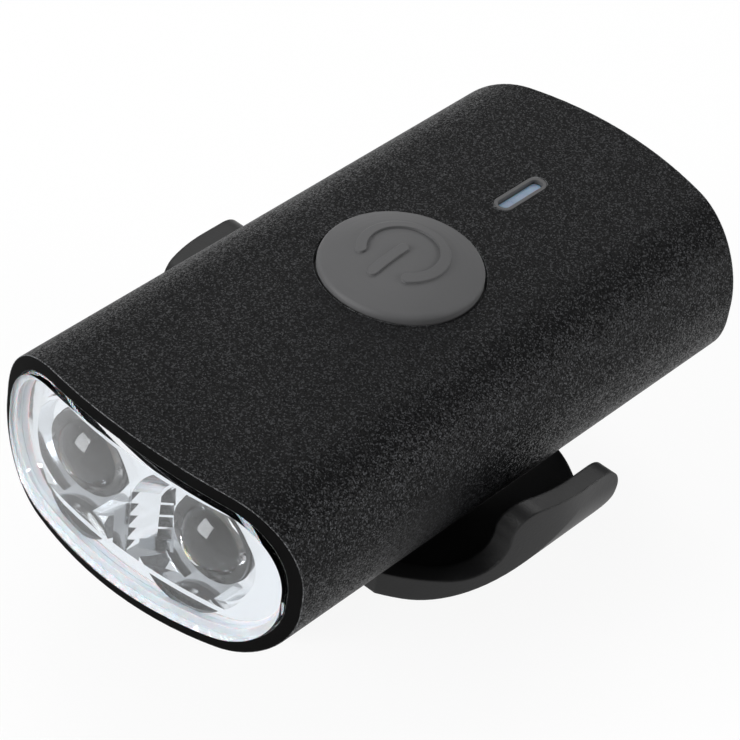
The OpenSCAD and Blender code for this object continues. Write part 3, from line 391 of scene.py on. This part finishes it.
# all other materials, as worked surfaces
finishSet = {
    # silicone rubber, compression moulded, dark grey: dull and dusty, with a soft sheen at the edges
    "siliconeRubber": {
        "on": ("power_button", "indicator_collar"),
        "surface": {"IOR": 1.41, "Sheen Weight": 0.1, "Sheen Roughness": 0.4},
        "colour": "#464647", "patchColour": "#515152", "patchMm": 5.0, "grainMm": 0.3,
        "rough": (0.55, 0.7), "bump": 0.15, "edgeMm": 0.2,
    },
    # silicone, moulded, translucent: milky and soft, it spreads the light along the cover's edge
    "whiteSilicone": {
        "on": ("lens_seal",),
        "surface": {"IOR": 1.41, "Subsurface Weight": 0.5, "Subsurface Scale": 1 * mm},
        "colour": "#aeb3b7", "patchColour": "#93999e", "patchMm": 3.0, "grainMm": 0.4,
        "rough": (0.4, 0.5), "bump": 0.05, "edgeMm": 0.1,
    },
    # glass-filled nylon, injection moulded in a spark-eroded tool: black, satin, finely textured
    "blackNylon": {
        "on": ("mount_base", "rear_cap"),
        "surface": {"IOR": 1.53, "Specular IOR Level": 0.3},
        "colour": "#0c0c0d", "patchColour": "#111112", "patchMm": 9.0, "grainMm": 0.28,
        "rough": (0.4, 0.52), "bump": 0.35, "edgeMm": 0.35,
    },
    # nitrile and TPU rubber, moulded: nearly black, with a faint bloom
    "mouldedRubber": {
        "on": ("port_cover", "rear_seal", "button_seal", "bar_pad"),
        "surface": {"IOR": 1.52, "Sheen Weight": 0.05},
        "colour": "#161616", "patchColour": "#242425", "patchMm": 6.0, "grainMm": 0.35,
        "rough": (0.55, 0.75), "bump": 0.2, "edgeMm": 0.25,
    },
    # polycarbonate light pipe, moulded, milky and unlit: pale blue grey
    "milkyPolycarbonate": {
        "on": ("indicator_window",),
        "surface": {
            "IOR": 1.58, "Specular IOR Level": 0.25, "Subsurface Weight": 0.6, "Subsurface Scale": 1 * mm},
        "colour": "#7d90a8", "patchColour": "#93a4b8", "patchMm": 1.5, "grainMm": 0.3,
        "rough": (0.25, 0.35), "bump": 0.05, "edgeMm": 0.1,
    },
    # ABS, moulded, soot black: so dull that no stray light leaves the optics
    "blackAbs": {
        "on": ("optic_carrier", "usb_tongue", "board_parts", "switch_body"),
        "surface": {"IOR": 1.54, "Specular IOR Level": 0.1},
        "colour": "#060606", "patchColour": "#0b0b0b", "patchMm": 4.0, "grainMm": 0.3,
        "rough": (0.6, 0.7), "bump": 0.1, "edgeMm": 0.1,
    },
    # ABS, moulded, mid grey: plain and satin
    "greyAbs": {
        "on": ("tray", "switch_plunger"),
        "surface": {"IOR": 1.54},
        "colour": "#5a5d60", "patchColour": "#63666a", "patchMm": 8.0, "grainMm": 0.4,
        "rough": (0.4, 0.5), "bump": 0.1, "edgeMm": 0.25,
    },
    # stainless steel, turned: fine tool marks blur its gloss
    "turnedSteel": {
        "on": ("rear_screws", "base_screws", "led_board_screws", "nut_plate"),
        "surface": {"Metallic": 1.0},
        "colour": "#b4b6b9", "patchColour": "#9a9ca0", "patchMm": 2.0, "grainMm": 0.12,
        "rough": (0.25, 0.38), "bump": 0.2, "edgeMm": 0.15,
    },
    # nickel-plated steel, folded: bright and cool, with drawn lines along the shell
    "nickelPlate": {
        "on": ("usb_socket",),
        "surface": {"Metallic": 1.0},
        "colour": "#c9cbce", "patchColour": "#b5b8bc", "patchMm": 2.5, "grainMm": 0.15, "stretch": (1, 0.1, 1),
        "rough": (0.18, 0.3), "bump": 0.15, "edgeMm": 0.1,
    },
    # aluminium, milled and left bare: pale, with short cutter marks
    "milledAluminium": {
        "on": ("heat_sink",),
        "surface": {"Metallic": 1.0},
        "colour": "#c4c6c9", "patchColour": "#b2b5b9", "patchMm": 5.0, "grainMm": 0.3, "stretch": (0.15, 1, 1),
        "rough": (0.3, 0.45), "bump": 0.25, "edgeMm": 0.2,
    },
    # EVA foam, cut from sheet: dull, with open cells
    "evaFoam": {
        "on": ("battery_pad",),
        "surface": {"IOR": 1.45},
        "colour": "#2c2c2e", "patchColour": "#3a3a3c", "patchMm": 1.2, "grainMm": 0.6,
        "rough": (0.85, 0.95), "bump": 0.8, "edgeMm": 0.3,
    },
    # aluminium-laminate pouch film: soft metal gloss with shallow wrinkles
    "pouchFilm": {
        "on": ("battery",),
        "surface": {"Metallic": 0.6},
        "colour": "#8f9aa8", "patchColour": "#7b8796", "patchMm": 9.0, "grainMm": 5.0,
        "rough": (0.25, 0.4), "bump": 0.25, "edgeMm": 0.6,
    },
    # phosphor in clear silicone, cast: pale yellow, glossy
    "phosphorSilicone": {
        "on": ("leds",),
        "surface": {"IOR": 1.45, "Subsurface Weight": 0.3, "Subsurface Scale": 0.5 * mm},
        "colour": "#cfc8a2", "patchColour": "#c3ba8c", "patchMm": 0.8, "grainMm": 0.2,
        "rough": (0.15, 0.25), "bump": 0.05, "edgeMm": 0.1,
    },
    # alumina ceramic, fired: white, fine-grained
    "aluminaCeramic": {
        "on": ("status_led",),
        "surface": {"IOR": 1.76},
        "colour": "#e6e6e2", "patchColour": "#d9d9d4", "patchMm": 0.7, "grainMm": 0.15,
        "rough": (0.35, 0.5), "bump": 0.1, "edgeMm": 0.1,
    },
}
for name, finish in finishSet.items():
    dress(workedSurface(name, finish), *finish["on"])

# solder mask over copper, printed: a thin gloss skin with the tracks standing up under it
boardSet = {
    "greenMask": {"on": "main_board", "colour": "#0f4a2a", "trackColour": "#1c6b3f", "trackMm": 1.6},
    "blackMask": {"on": "led_board", "colour": "#070808", "trackColour": "#101112", "trackMm": 2.4},
}
trackSet = {
    "surface": {"IOR": 1.55, "Specular IOR Level": 0.25, "Roughness": 0.3},
    "bendMm": 8.0,
    "lines": 9.0,  # across one patch of tracks
    "edge": (0.45, 0.55),
    "bump": 0.4,
    "liftMm": 0.05,
}
for name, board in boardSet.items():
    material, tree, shader, output = newMaterial(name, trackSet["surface"])
    coords = addNode(tree, "TexCoord").outputs["Object"]
    bend = addNode(tree, "TexNoise", {"Scale": perMetre(trackSet["bendMm"]), "Detail": 0.0}, {"Vector": coords})
    tracks = addNode(tree, "TexVoronoi", {
        "distance": "CHEBYCHEV", "feature": "F1", "Scale": perMetre(2 * board["trackMm"])}, {"Vector": coords})
    lines = addNode(tree, "Math", {"operation": "MULTIPLY_ADD", 1: trackSet["lines"]}, {
        0: tracks.outputs["Distance"], 2: bend.outputs["Fac"]})
    lines = addNode(tree, "Math", {"operation": "FRACT"}, {0: lines.outputs[0]})
    lines = addNode(tree, "MapRange", {
        "From Min": trackSet["edge"][0], "From Max": trackSet["edge"][1]}, {"Value": lines.outputs[0]})
    colour = addNode(tree, "Mix", {
        "data_type": "RGBA", 6: linear(board["colour"]), 7: linear(board["trackColour"])}, {0: lines.outputs[0]})
    bump = addNode(tree, "Bump", {
        "Strength": trackSet["bump"], "Distance": trackSet["liftMm"] * mm}, {"Height": lines.outputs[0]})
    feed(tree, shader, {"Base Color": colour.outputs[2], "Normal": bump.outputs[0]})
    dress(material, board["on"])
print("materials dressed")

# bar pad: the plain pad's copy with grip grooves cut along the bar
padSet = {"grooves": 17, "stepDeg": 8.0, "barMm": 15.9, "cutMm": 0.65, "lengthMm": 60.0, "weldMm": 0.001}
bpy.ops.object.select_all(action="DESELECT")
nodes["bar_pad"].select_set(True)
bpy.context.view_layer.objects.active = nodes["bar_pad"]
bpy.ops.object.duplicate()
gripPad = bpy.context.object
gripPad.name = "gripPad"
bpy.ops.object.mode_set(mode="EDIT")
bpy.ops.mesh.select_all(action="SELECT")
bpy.ops.mesh.remove_doubles(threshold=padSet["weldMm"] * mm)
bpy.ops.mesh.normals_make_consistent(inside=False)
bpy.ops.object.mode_set(mode="OBJECT")
bar = padSet["barMm"] * mm
cut = padSet["cutMm"] * mm
cutters = []
for i in range(padSet["grooves"]):
    lean = math.radians(padSet["stepDeg"] * (i - (padSet["grooves"] - 1) / 2))
    bpy.ops.object.select_all(action="DESELECT")
    bpy.ops.mesh.primitive_cube_add(  # set on edge, it cuts a V
        size=1, rotation=(math.radians(45) - lean, 0, 0),
        location=(0, bar * math.sin(lean), bar * math.cos(lean)),
        scale=(padSet["lengthMm"] * mm, cut, cut))
    cutters.append(bpy.context.object)
bpy.ops.object.select_all(action="DESELECT")
for cutter in cutters:
    cutter.select_set(True)
bpy.context.view_layer.objects.active = cutters[0]
bpy.ops.object.join()
cutter = bpy.context.object
bpy.ops.object.select_all(action="DESELECT")
gripPad.select_set(True)
bpy.context.view_layer.objects.active = gripPad
carve = gripPad.modifiers.new("carve", "BOOLEAN")
carve.operation = "DIFFERENCE"
carve.solver = "EXACT"
carve.object = cutter
bpy.ops.object.modifier_apply(modifier="carve")
bpy.data.objects.remove(cutter)
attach(gripPad, "light")
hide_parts("bar_pad")
print("bar pad grooved:", len(gripPad.data.polygons), "faces")
